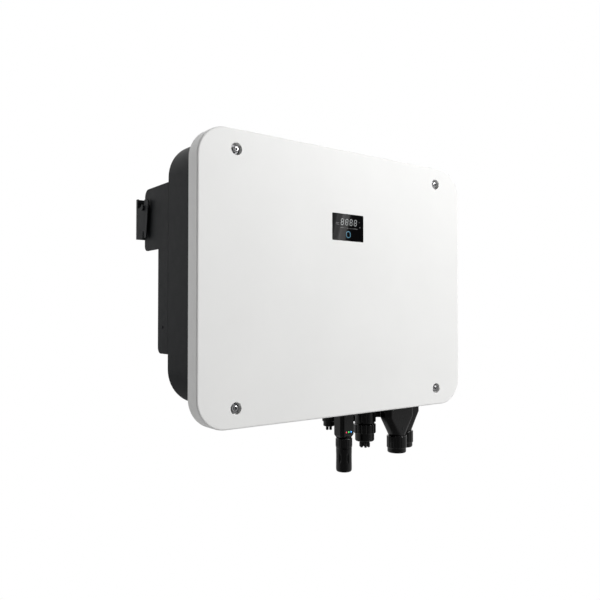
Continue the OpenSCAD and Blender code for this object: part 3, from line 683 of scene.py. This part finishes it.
def build_stick():
    """The communication stick: faceted body, three lights, ring nut and grooved cap."""
    x, y, _, top = hub("stick_body")
    nut_low, nut_high = heights("stick_ring_nut")
    mid = nut_high + 0.3

    def outline(inset):
        w, d, c = (STICK_W - 2 * inset) / 2, (STICK_D - 2 * inset) / 2, STICK_CORNER
        points = [(-w + c, -d), (w - c, -d), (w, -d + c), (w, d - c), (w - c, d), (-w + c, d), (-w, d - c),
                  (-w, -d + c)]
        soft = rounded([points[-1]] + points + [points[0], points[1]], 1.0)[1:-2]
        return [(x + u, y + v) for u, v in soft]

    s = Shape()
    rings = s.loft([s.in_z(outline(i), z) for i, z in
                    ((1.2, top), (0.3, top - 0.5), (0, top - 1.4), (0, mid + 6.6), (0.3, mid + 5.6),
                     (3.0, mid + 0.6), (3.6, mid + 0.1), (4.4, mid))])
    s.fill(rings[0])
    s.fill(rings[-1])
    s.lathe([(13, mid + 1), (13, nut_low)], (x, y, 0), "z", 48)
    piece("stick_case", s, BLACK, "stick_body", smooth=30)

    low, high = span("stick_lights")
    s = Shape()
    face = low.y
    dome = [(0, face - 0.3), (1.1, face - 0.2), (1.7, face + 0.15), (1.7, face + 0.5), (0, face + 0.5)]
    for i, cx in enumerate((low.x + 1.25, (low.x + high.x) / 2, high.x - 1.25)):
        s.material = i
        s.lathe(dome, (cx, 0, (low.z + high.z) / 2), "y", 24)
    piece("stick_light_pipes", s, LIGHTS, "stick_lights")

    s = Shape()
    profile = [(13.3, nut_high), (15.2, nut_high), (16.2, nut_high - 1.2), (16.2, nut_high - 3),
               (16.2, nut_low + 3.2), (15.9, nut_low + 2.8), (15.9, nut_low + 0.8), (15.2, nut_low),
               (13.3, nut_low)]
    s.lathe(rounded(profile), (x, y, 0), "z", 144, closed=True,
            wave=knurl(18, 0.45, nut_low + 3.3, nut_high - 2))
    piece("stick_ring", s, BLACK, "stick_ring_nut")

    s = Shape()
    cap_low, cap_high = heights("stick_cap")

    def groove(a, r, t):
        """Three shallow grooves that fade out towards both ends."""
        share = max(0.0, min(1.0, (t - cap_low - 17) / 7)) * max(0.0, min(1.0, (cap_high - 10 - t) / 3))
        return r - 1.7 * share * max(0.0, math.cos(3 * (a - 0.35)) ** 2) ** 14 if r > 14 else r

    profile = [(0, cap_low + 0.5), (8.5, cap_low + 0.5), (9.2, cap_low), (12.3, cap_low),
               (14.2, cap_low + 1.0), (15.1, cap_low + 3.0)]
    profile += [(15.3, cap_low + 5 + i * (cap_high - cap_low - 8) / 28) for i in range(29)]
    profile += [(15.3, cap_high - 1.4), (14.9, cap_high - 0.6), (14.9, cap_high), (0, cap_high)]
    s.lathe(profile, (x, y, 0), "z", 144, wave=groove)
    piece("stick_end_cap", s, BLACK, "stick_cap")


def build_com():
    """The communication connector: plug, clamping nut, seal with six stopper pins, socket."""
    x, y, _, top = hub("com_plug")
    nut_low, nut_high = heights("com_nut")
    s = Shape()
    profile = [(0, top), (19.4, top), (20.2, top - 1), (20.2, nut_high + 3), (19.6, nut_high + 0.4),
               (15, nut_high + 0.4), (15, nut_high - 21), (12.2, nut_high - 21), (12.2, nut_high - 6),
               (0, nut_high - 6)]
    s.lathe(rounded(profile, 0.6), (x, y, 0), "z", 96)
    # four latching wings round the plug
    for k in range(4):
        turn = Matrix.Rotation(math.radians(45 + 90 * k), 3, "Z")
        part = Shape()
        part.block((17, -5, nut_high + 3.5), (22.6, 5, top - 5), 1.4, 3)
        for v in part.bm.verts:
            v.co = turn @ v.co + Vector((x, y, 0))
        mesh = bpy.data.meshes.new("wing")
        part.bm.to_mesh(mesh)
        s.bm.from_mesh(mesh)
        part.bm.free()
        bpy.data.meshes.remove(mesh)
    piece("com_plug_case", s, BLACK, "com_plug")

    s = Shape()
    step = nut_low + 16
    profile = [(15.3, nut_high), (21.3, nut_high), (22.55, nut_high - 1.2), (22.55, step + 1.0),
               (21.6, step), (19.4, step - 0.4), (19.4, nut_low + 2.2), (18.0, nut_low), (12.4, nut_low),
               (12.4, nut_low + 13.2), (15.3, nut_low + 13.2)]
    s.lathe(rounded(profile, 0.6), (x, y, 0), "z", 144, closed=True,
            wave=knurl(12, 1.1, step + 0.8, nut_high - 1, 17))
    piece("com_clamp_nut", s, BLACK, "com_nut")

    s = Shape()
    low, high = heights("com_seal")
    plug = rounded([(0, high), (12, high), (12, low + 14.6), (11, low + 13.9), (0, low + 13.9)])
    s.lathe(plug, (x, y, 0))
    pin = rounded([(0, low), (2.0, low), (2.8, low + 1.6), (2.8, low + 9), (1.9, low + 10), (1.9, low + 15),
                   (0, low + 15)], 0.4)
    for px, py in circle(8.3, x, y, 6):
        s.lathe(pin, (px, py, 0), "z", 24)
    piece("com_seal_plugs", s, RUBBER, "com_seal")

    x, y, low, top = hub("com_socket")
    s = Shape()
    profile = [(0, top), (14.8, top), (14.8, LEDGE_Z), (21.5, LEDGE_Z), (21.5, -219), (20.4, -219.6),
               (20.4, low + 2), (21.4, low + 1.4), (21.4, low + 0.4), (20.6, low), (0, low)]
    s.lathe(rounded(profile, 0.4), (x, y, 0), "z", 96, wave=knurl(24, 0.4, low + 3, -221))
    piece("com_socket_case", s, BLACK, "com_socket")


def build_aux():
    """The auxiliary connector: clamping nut, seal with two stopper pins, socket."""
    x, y, nut_low, nut_high = hub("aux_nut")
    s = Shape()
    step = nut_low + 9.6
    profile = [(8.8, nut_high), (12.3, nut_high), (13.2, nut_high - 0.9), (13.2, step + 0.8), (12.5, step),
               (11, step - 0.4), (11, nut_low + 1.2), (10.1, nut_low), (6.3, nut_low), (6.3, nut_low + 16),
               (8.8, nut_low + 16)]
    s.lathe(rounded(profile, 0.4), (x, y, 0), "z", 120, closed=True,
            wave=knurl(10, 0.9, step + 0.5, nut_high - 0.8))
    piece("aux_clamp_nut", s, BLACK, "aux_nut")

    s = Shape()
    low, high = heights("aux_seal")
    plug = rounded([(0, high), (6, high), (6, low + 9.4), (5.4, low + 9), (0, low + 9)], 0.3)
    s.lathe(plug, (x, y, 0), "z", 48)
    pin = rounded([(0, low), (2.0, low), (2.7, low + 1.4), (2.7, low + 10), (0, low + 10)], 0.4)
    for side in (-1, 1):
        s.lathe(pin, (x + side * 2.6, y - side * 1.95, 0), "z", 24)
    piece("aux_seal_plugs", s, RUBBER, "aux_seal")

    x, y, low, top = hub("aux_socket")
    s = Shape()
    profile = [(0, top), (7.8, top), (7.8, LEDGE_Z), (14.2, LEDGE_Z), (14.2, -219), (13.4, -219.6),
               (13.4, -242), (11.6, -244), (8.5, -244), (8.5, low), (6.2, low), (6.2, -246), (0, -246)]
    s.lathe(rounded(profile, 0.4), (x, y, 0), "z", 72, wave=knurl(16, 0.35, -240, -221))
    piece("aux_socket_case", s, BLACK, "aux_socket")


SHELL_HALF, SHELL_R, NECK_R, FACET_REACH, FACET = 40.0, 15.9, 16.8, 1.055, math.pi / 4
SHELL_BREAK, SHELL_NECK, SHELL_END = -266.0, -305.0, -318.0


def build_ac(name):
    """An AC connector: a shell that tapers from a faceted oval to a round neck, and its clamping nut."""
    x, y, _, top = hub(name + "_shell")
    n = 96

    def ring(z, share, inset=0.0):
        """Share 0 is the faceted oval, 1 the round neck."""
        r = (SHELL_R - inset) * (1 - share) + (NECK_R - inset) * share
        shift = (SHELL_HALF - SHELL_R) * (1 - share)
        points = []
        for i in range(n):
            a = math.tau * (i + 0.5) / n
            flat = min(1 / math.cos((a + FACET / 2) % FACET - FACET / 2), FACET_REACH)
            out = r * (1 + (flat - 1) * (1 - share))
            points.append((x + out * math.cos(a) + math.copysign(shift, math.cos(a)), y + out * math.sin(a)))
        return s.in_z(points, z)

    s = Shape()
    rings = [ring(LEDGE_Z, 0), ring(-220.4, 0), ring(-221, 0, 0.7), ring(-223, 0, 0.7), ring(-223.6, 0)]
    rings += [ring(SHELL_BREAK + 4 - 8 * t, max(0.0, (t - 0.5) * 0.2)) for t in (0, 0.5, 0.75, 1.0)]
    for i in range(1, 9):
        t = i / 8
        rings.append(ring(SHELL_BREAK - 4 + (SHELL_NECK - SHELL_BREAK + 4) * t, 0.1 + 0.9 * t))
    rings.append(ring(SHELL_NECK, 1, 0.6))
    s.loft(rings)
    neck = s.loft([s.in_z(circle(r, x, y, n, math.pi / n), z) for r, z in
                   ((15, SHELL_NECK), (15, SHELL_END), (11, SHELL_END), (11, -237), (0.5, -236.5))])
    s.bridge(rings[-1], neck[0])
    s.fill(rings[0])
    s.fill(neck[-1])
    s.lathe([(14.8, -217), (14.8, top)], (x, y, 0))
    # screw of the cord clamp on the front of the shell
    screw = rounded([(0, y - 17.2), (2.0, y - 17.2), (2.4, y - 16.8), (2.4, y - 15)], 0.3)
    s.lathe(screw, (x + 1, 0, -290), "y", 24)
    piece(name + "_shell_case", s, BLACK, name + "_shell", smooth=24)

    x, y, low, high = hub(name + "_nut")
    s = Shape()
    lip = low + 10
    profile = [(15.35, high), (19.4, high), (20.45, high - 1.1), (20.45, lip + 1.2), (19.7, lip),
               (19.0, lip - 0.6), (19.0, low + 1.8), (17.8, low + 0.3), (16.5, low), (10.5, low),
               (10.5, low + 4), (14, low + 4), (14, low + 22), (15.35, low + 22)]
    s.lathe(rounded(profile), (x, y, 0), "z", 192, closed=True,
            wave=knurl(16, 0.7, lip + 1, high - 1, 17))
    piece(name + "_clamp_nut", s, BLACK, name + "_nut")


def build_ac_seals():
    s = Shape()
    low, high = heights("ac_seals")
    profile = [(9, low + 0.6), (9.6, low), (13.1, low), (13.7, low + 0.6), (13.7, high - 0.5), (13.2, high),
               (9.6, high), (9, high - 0.6)]
    for node in ("grid_shell", "backup_shell"):
        x, y, _, _ = hub(node)
        s.lathe(profile, (x, y, 0), closed=True)
    piece("ac_seal_rings", s, RUBBER, "ac_seals")


# ------------------------------------------ the inside
BOARD_Y, FUSE_Y = 98.0, 90.0
CONTROL_Y = span("control_board")[0].y + 10
# width, height and thickness of the small parts; those of a larger area get rows of tinned pins
CHIPS = ((2, 1.2, 0.6), (3.2, 1.6, 0.9), (1.6, 3.2, 0.9), (5, 4, 1.2), (4, 6, 1.4), (9, 9, 1.3), (3, 3, 1.0))
PINNED_AREA = 8
CAP_PITCH, CAP_ROWS = 37.0, (64.0, 104.0, 144.0)
CHOKE_X, CHOKE_ROWS = 212.0, (0.0, 76.0, 152.0)
CHOKE_R, CORE_R, WOUND_R, WIRE_BULGE, LEAD_R = 22.0, 10.6, 12.4, 1.1, 1.5


def build_link_capacitors():
    """Sleeved cans with a tinned top and a scored vent."""
    s = Shape()
    low, high = span("dc_link_capacitors")
    front, back = low.y, high.y
    can = [(12.8, 0.9), (13.2, 0.2), (14.2, 0), (15.6, 0.1), (16.3, 0.5), (16.5, 1.4), (16.5, 4),
           (15.9, 4.8), (15.9, 5.6), (16.5, 6.4), (16.5, back - front)]
    for i in range(6):
        for z in CAP_ROWS:
            at = ((i - 2.5) * CAP_PITCH, front, z)
            s.material = 0
            s.lathe(can, at, "y", 40)
            s.material = 1
            s.lathe([(0, 0.35), (12.4, 0.35), (13.0, 0.8), (0, 0.85)], at, "y", 40)
            s.material = 2
            for k in range(3):
                a = math.tau * k / 6
                along = Vector((math.cos(a), math.sin(a))) * 9
                across = Vector((-math.sin(a), math.cos(a))) * 0.25
                bar = [(at[0] + q.x, z + q.y) for q in
                       (along + across, across - along, -along - across, along - across)]
                s.prism(bar, front + 0.3, front + 0.4)
    piece("dc_link_capacitor_set", s, [SLEEVE, TIN, BLACK], "dc_link_capacitors")


def build_chokes(node, side):
    """Ring cores wound with thick wire, their two ends led to the board."""
    s = Shape()
    turns, steps, bare = 20, 6, math.radians(52)
    first, wound = math.pi / 2 * (1 - side) + bare / 2, math.tau - bare
    for z in CHOKE_ROWS:
        centre = (side * CHOKE_X, BOARD_Y - 13, z)
        s.material = 0
        s.torus(centre, CHOKE_R, lambda i: CORE_R, first + wound / 2, math.tau * 0.999, 48)
        s.material = 1
        s.torus(centre, CHOKE_R, lambda i: WOUND_R - WIRE_BULGE * abs(math.cos(math.pi * i / steps)),
                first, wound, turns * steps)
        for a in (first, first + wound):
            x, up = centre[0] + CHOKE_R * math.cos(a), z + CHOKE_R * math.sin(a)
            s.tube([(x, BOARD_Y - 24, up), (x, BOARD_Y - 12, up), (x, BOARD_Y, up)], LEAD_R)
    piece(node + "_wound", s, [CORE, COPPER], node, smooth=50)


def build_terminal_screws():
    """Slotted screws of the two AC terminal blocks, five each."""
    s = Shape()
    low, high = span("ac_terminals")
    z = (low.z + high.z) / 2
    for block_x in (low.x + 26, high.x - 26):
        for i in range(-2, 3):
            x = block_x + i * 10
            s.material = 0
            s.lathe([(0, 4), (2.4, 4), (2.9, 4.5), (2.9, 9), (0, 9)], (x, low.y, z), "y", 24)
            s.material = 1
            s.prism(rounded_rect(4.6, 0.7, 0.2, x, z, 2), low.y + 3.95, low.y + 4.1)
    piece("ac_terminal_screws", s, [STEEL, BLACK], rides=("inverter", "stainless"))


def build_fuses():
    """Ceramic fuses of the solar inputs, in clips on the power board."""
    s = Shape()
    tube = rounded([(0, -12), (4.4, -12), (4.4, 12), (0, 12)], 0.5, 4)
    for i in range(4):
        for z in (-62, -84):
            x = -236 + i * 44
            s.material = 0
            s.lathe(tube, (x, FUSE_Y, z), "x", 28)
            s.material = 1
            for side in (-1, 1):
                cap = [(4.4, side * 16), (5.1, side * 16), (5.1, side * 10.5), (4.4, side * 10.5)]
                s.lathe(rounded(cap, 0.3, 4), (x, FUSE_Y, z), "x", 28)
                clip = x + side * 13.2
                s.block((clip - 2.5, FUSE_Y, z - 5.6), (clip + 2.5, BOARD_Y, z + 5.6), 0.5)
    piece("input_fuses", s, [MODULE, TIN], rides=("inverter", "module_case"))


def scatter(name, area, y, count, seed, taken):
    """Small chips and passive parts on a board's front, clear of the large ones."""
    rng = random.Random(seed)
    s = Shape()
    placed = list(taken)
    x0, z0, x1, z1 = area
    for _ in range(count * 8):
        if len(placed) >= count + len(taken):
            break
        w, h, t = rng.choice(CHIPS)
        x, z = rng.uniform(x0 + w, x1 - w), rng.uniform(z0 + h, z1 - h)
        box = (x - w / 2 - 1, z - h / 2 - 1, x + w / 2 + 1, z + h / 2 + 1)
        if any(box[0] < b[2] and box[2] > b[0] and box[1] < b[3] and box[3] > b[1] for b in placed):
            continue
        placed.append(box)
        pinned = w * h > PINNED_AREA
        s.material = 0 if pinned else rng.choice((0, 1))
        s.block((x - w / 2, y - t, z - h / 2), (x + w / 2, y, z + h / 2), 0.15, 1)
        s.material = 2
        for side in (-1, 1) if pinned else ():
            row = z + side * (h / 2 + 0.4)
            s.block((x - w / 2 + 0.3, y - 0.3, row - 0.3), (x + w / 2 - 0.3, y, row + 0.3), 0)
    piece(name, s, [BLACK, MODULE, TIN], rides=("inverter", "circuit_board"))


def build_board_parts():
    scatter("power_board_parts", (-262, -100, 262, 196), BOARD_Y, 170, 3,
            [(-112, 44, 112, 166), (-250, -38, -174, 190), (174, -38, 250, 190), (88, -86, 138, -2),
             (144, -96, 236, -42), (-34, -80, 34, -12), (-262, -92, -76, -54), (-100, 20, 100, 36)])
    scatter("connection_board_parts", (-262, -176, 262, -106), BOARD_Y, 90, 5,
            [(120, -154, 252, -118), (-178, -142, -28, -112)])
    scatter("control_board_parts", (-105, 40, 105, 166), CONTROL_Y, 110, 9,
            [(-94, 48, -70, 122), (56, 58, 96, 98), (-32, 42, 32, 58), (-42, 72, 42, 130)])


def build_knob_pointer():
    """The pale mark on the DC switch's knob."""
    low, high = span("dc_switch_knob")
    x, y = (low.x + high.x) / 2, (low.y + high.y) / 2
    s = Shape()
    s.prism(rounded_rect(2.0, 9.0, 0.8, x, y - 11, 4), low.z - 0.12, low.z + 0.5, "z", 0.1, 1)
    piece("switch_pointer", s, WHITE, rides=("switch_knob", "grey_plastic"))


build_link_capacitors()
build_chokes("boost_chokes", -1)
build_chokes("filter_chokes", 1)
build_terminal_screws()
build_fuses()
build_board_parts()
build_knob_pointer()
build_cover()
build_window()
build_display()
build_cover_screws()
build_housing()
build_stick()
build_com()
build_aux()
build_ac("grid")
build_ac("backup")
build_ac_seals()



# ----------------------- CAD nodes with rounded edges
BOARD_T = 1.7


def board_zone(p):
    """Headers and cans in front of the control board are black, its spacers are steel."""
    return 1 if p.y < CONTROL_Y - 0.1 else 2 if p.y > CONTROL_Y + BOARD_T else 0


def display_zone(p):
    """The display board's spacers are steel."""
    return 1 if p.y > span("display_board")[0].y + BOARD_T else 0


def lead_zone(p):
    """Plus leads rise from the front row, minus leads from the back row."""
    return 0 if p.y < 80 or p.z > -128 else 1


# node: material or materials, edge radius, and the function that places the materials
REFINED = {
    "breather_vent": (BLACK, 0.6), "earth_terminal": (STEEL, 0.25), "heat_sink": (SINK, 0.35),
    "rear_screws": (STEEL, 0.25), "left_hanger": (DARK, 0.4), "right_hanger": (DARK, 0.4),
    "hanger_pins": (DARK, 0.4), "wall_bracket": (DARK, 0.4), "dc_switch_body": (GREY, 1.2),
    "dc_switch_plate": (GREY, 0.6), "dc_switch_knob": (BLACK, 0.7), "solar_plus_sockets": (BLACK, 0.35),
    "solar_minus_sockets": (BLACK, 0.35), "battery_sockets": (BLACK, 0.4), "stick_socket": (BLACK, 0.5),
    "spare_port_cap": (BLACK, 0.6), "shield_tray": (ZINC, 0.3), "fan_frame": (BLACK, 0.4),
    "fan_rotor": (BLACK, 0.3), "display_module": (GLASS, 0.4), "ac_terminals": (TERMINAL, 0.4),
    "power_modules": (MODULE, 0.8), "filter_capacitors": (FILM, 1.0), "grid_relays": (RELAY, 0.8),
    "board_standoffs": (STEEL, 0.2), "tray_pillars": (STEEL, 0.2), "power_board": (BOARD, 0.15),
    "connection_board": (BOARD, 0.15), "control_board": ([BOARD, BLACK, STEEL], 0.2, board_zone),
    "display_board": ([BOARD, STEEL], 0.15, display_zone),
    "dc_leads": ([RED_SHEATH, RUBBER], 0.0, lead_zone), "thermal_pads": (PAD, 0.1),
    "cover_gasket": (RUBBER, 0.4), "heat_sink_gasket": (RUBBER, 0.2),
}
for node, row in REFINED.items():
    refine(node, *row)


# ---------------------------------- floor, light, world
FLOOR_DROP = 1.35
FLOOR_SHADE, FLOOR_NEAR, FLOOR_FAR = 0.56, 0.13, 0.5
KEY_AT, KEY_AIM, KEY_SIZE, KEY_POWER = Vector((1.9, -2.6, 1.45)), Vector((0.1, -0.25, -0.1)), 1.3, 116.0
DARK_SIDE = Vector((-0.66, -0.75, 0.0))
BEHIND, DIM, BRIGHT, FALL = Vector((0.25, 0.90, 0.10)).normalized(), 0.03, 1.66, 2.0
STRIP_EDGE, STRIP_SIZE, STRIP_LEAN = (1312, -1500, 368), (0.036, 0.9), math.radians(-11)
STRIP_POWERS = (0.52, 0.27, 0.12)


def only_for(tree, rays, seen, other):
    """Mix two shaders: one for the given kind of rays, the other for the rest."""
    mix = add_node(tree, "MixShader", Fac=add_node(tree, "LightPath").outputs[rays])
    tree.links.new(other, mix.inputs[1])
    tree.links.new(seen, mix.inputs[2])
    return mix.outputs["Shader"]


def toward(tree, way, side):
    """How far a direction points to one side: their dot product."""
    product = add_node(tree, "VectorMath", {"operation": "DOT_PRODUCT"}, Vector=way)
    product.inputs[1].default_value = side
    return product.outputs["Value"]


def build_stage():
    """A pale floor far below. It shows as plain white, and reflections see it dark on the near side."""
    mesh = bpy.data.meshes.new("floor")
    bm = bmesh.new()
    bmesh.ops.create_circle(bm, cap_ends=True, radius=14, segments=64)
    bm.to_mesh(mesh)
    bm.free()
    floor = bpy.data.objects.new("floor", mesh)
    scene.collection.objects.link(floor)
    floor.location = (0, 0, -FLOOR_DROP)
    n = Nodes("pale_floor")
    low, high = (FLOOR_SHADE * 0.97,) * 3, (FLOOR_SHADE * 1.03,) * 3
    n.set(Base_Color=n.ramp(n.noise(2.0), [(0.2, low), (0.8, high)]), Roughness=0.9)
    way = n.add("VectorMath", {"operation": "NORMALIZE"}, Vector=n.coords).outputs["Vector"]
    level = n.add("MapRange", {"From Min": 0.1, "From Max": 0.8, "To Min": FLOOR_FAR, "To Max": FLOOR_NEAR},
                  Value=toward(n.tree, way, DARK_SIDE))
    dark = n.add("Emission", Strength=level.outputs["Result"]).outputs["Emission"]
    white = n.add("Emission").outputs["Emission"]
    out = n.tree.nodes["Material Output"]
    pale = only_for(n.tree, "Is Glossy Ray", dark, n.shader.outputs["BSDF"])
    n.tree.links.new(only_for(n.tree, "Is Camera Ray", white, pale), out.inputs["Surface"])
    mesh.materials.append(n.material)


def area_light(name, at, aim, width, height, power, lean=0.0):
    """A rectangular lamp pointed at a place, and turned about its own axis by lean."""
    lamp = bpy.data.lights.new(name, "AREA")
    lamp.shape = "RECTANGLE"
    lamp.size = width
    lamp.size_y = height
    lamp.energy = power
    light = bpy.data.objects.new(name, lamp)
    scene.collection.objects.link(light)
    light.location = at
    turn = (aim - at).to_track_quat("-Z", "Y").to_matrix() @ Matrix.Rotation(lean, 3, "Z")
    light.rotation_euler = turn.to_euler()


def build_light():
    """A soft key light, and a slim strip lamp whose reflection crosses the display window."""
    area_light("key", KEY_AT, KEY_AIM, KEY_SIZE, KEY_SIZE, KEY_POWER)
    edge = ORIGIN + Vector(STRIP_EDGE) * MM
    for i, power in enumerate(STRIP_POWERS):
        at = edge + Vector((-STRIP_SIZE[0] * (i + 0.5), 0, 0))
        area_light(f"strip_{i}", at, ORIGIN, *STRIP_SIZE, power, STRIP_LEAN)


def build_world():
    """A white studio behind the inverter, dim on the near side; it shows as plain white."""
    world = bpy.data.worlds.new("studio")
    scene.world = world
    world.use_nodes = True
    tree = world.node_tree
    tree.nodes.clear()
    facing = toward(tree, add_node(tree, "TexCoord").outputs["Generated"], BEHIND)
    share = add_node(tree, "MapRange", {"From Min": -1.0}, Value=facing)
    curve = add_node(tree, "Math", {"operation": "POWER"}, Value=share.outputs["Result"])
    curve.inputs[1].default_value = FALL
    level = add_node(tree, "Math", {"operation": "MULTIPLY_ADD"}, Value=curve.outputs["Value"])
    level.inputs[1].default_value = BRIGHT
    level.inputs[2].default_value = DIM
    soft = add_node(tree, "Background", {"Color": (1, 1, 1, 1)}, Strength=level.outputs["Value"])
    plain = add_node(tree, "Background", {"Color": (1, 1, 1, 1)})
    add_node(tree, "OutputWorld", Surface=only_for(tree, "Is Camera Ray", plain.outputs["Background"],
                                                   soft.outputs["Background"]))


build_stage()
build_light()
build_world()
